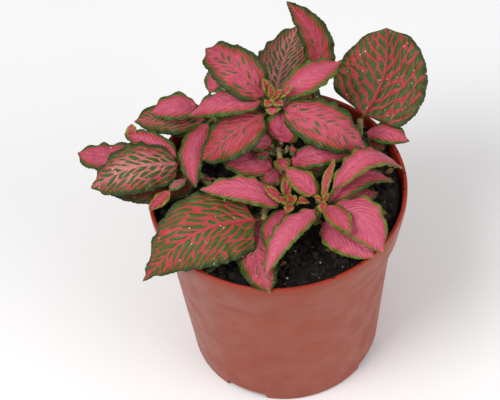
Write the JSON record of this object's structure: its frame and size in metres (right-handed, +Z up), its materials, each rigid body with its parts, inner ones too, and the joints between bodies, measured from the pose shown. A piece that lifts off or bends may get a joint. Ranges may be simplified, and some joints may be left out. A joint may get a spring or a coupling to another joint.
{
  "type": "potted nerve plant",
  "caption": "Small leafy house plant with netted pink and green leaves on short stems, growing in dark potting soil in a round tapered plastic nursery pot with a collar.",
  "frame": {"origin": "middle of the pot's flat base, on the surface the pot stands on", "axes": "+Z up along the pot's axis, -Y towards the front of the plant, +X to the right"},
  "size_m": [0.1244, 0.1125, 0.1259],
  "materials": {
    "terracotta_plastic": "terracotta-coloured moulded polypropylene, satin",
    "potting_soil": "moist dark peat with bark and perlite crumbs",
    "green_stem": "pale green, finely hairy",
    "netted_leaf": "green leaf with a fine pink to red vein network, satin",
    "pink_leaf": "young pink leaf with a green toothed margin, satin",
    "tip_leaf": "unfolding shoot-tip leaf, pink with a yellow-green margin"
  },
  "bodies": {
    "root": {"back_leaf_1": "netted_leaf", "back_leaf_2": "netted_leaf", "back_left_leaf_1": "pink_leaf", "back_left_leaf_2": "netted_leaf", "back_left_leaf_3": "pink_leaf", "back_left_leaf_4": "pink_leaf", "back_left_leaf_5": "netted_leaf", "back_left_stem": "green_stem", "back_stem": "green_stem", "bud_leaf_1": "tip_leaf", "bud_leaf_2": "tip_leaf", "bud_leaf_3": "tip_leaf", "bud_stem": "green_stem", "crown_leaf_1": "pink_leaf", "crown_leaf_2": "netted_leaf", "crown_leaf_3": "pink_leaf", "crown_leaf_4": "pink_leaf", "crown_leaf_5": "netted_leaf", "crown_leaf_6": "netted_leaf", "crown_leaf_7": "netted_leaf", "crown_stem": "green_stem", "crown_tip_1": "tip_leaf", "crown_tip_2": "tip_leaf", "front_leaf_1": "netted_leaf", "front_leaf_10": "pink_leaf", "front_leaf_11": "pink_leaf", "front_leaf_12": "netted_leaf", "front_leaf_2": "pink_leaf", "front_leaf_3": "netted_leaf", "front_leaf_4": "pink_leaf", "front_leaf_5": "pink_leaf", "front_leaf_6": "pink_leaf", "front_leaf_7": "pink_leaf", "front_leaf_8": "pink_leaf", "front_leaf_9": "pink_leaf", "front_stem": "green_stem", "left_leaf_1": "netted_leaf", "left_leaf_2": "netted_leaf", "left_leaf_3": "netted_leaf", "left_leaf_4": "tip_leaf", "left_leaf_5": "pink_leaf", "left_stem": "green_stem", "low_stem": "green_stem", "middle_leaf_1": "pink_leaf", "middle_leaf_2": "netted_leaf", "middle_leaf_3": "pink_leaf", "middle_leaf_4": "pink_leaf", "middle_leaf_5": "pink_leaf", "middle_leaf_6": "pink_leaf", "middle_leaf_7": "pink_leaf", "middle_leaf_8": "pink_leaf", "middle_stem": "green_stem", "nursery_pot": "terracotta_plastic", "potting_soil": "potting_soil", "right_leaf_1": "netted_leaf", "right_leaf_2": "pink_leaf", "right_leaf_3": "netted_leaf", "right_leaf_4": "pink_leaf", "right_leaf_5": "pink_leaf", "right_stem": "green_stem"}
  },
  "joints": []
}
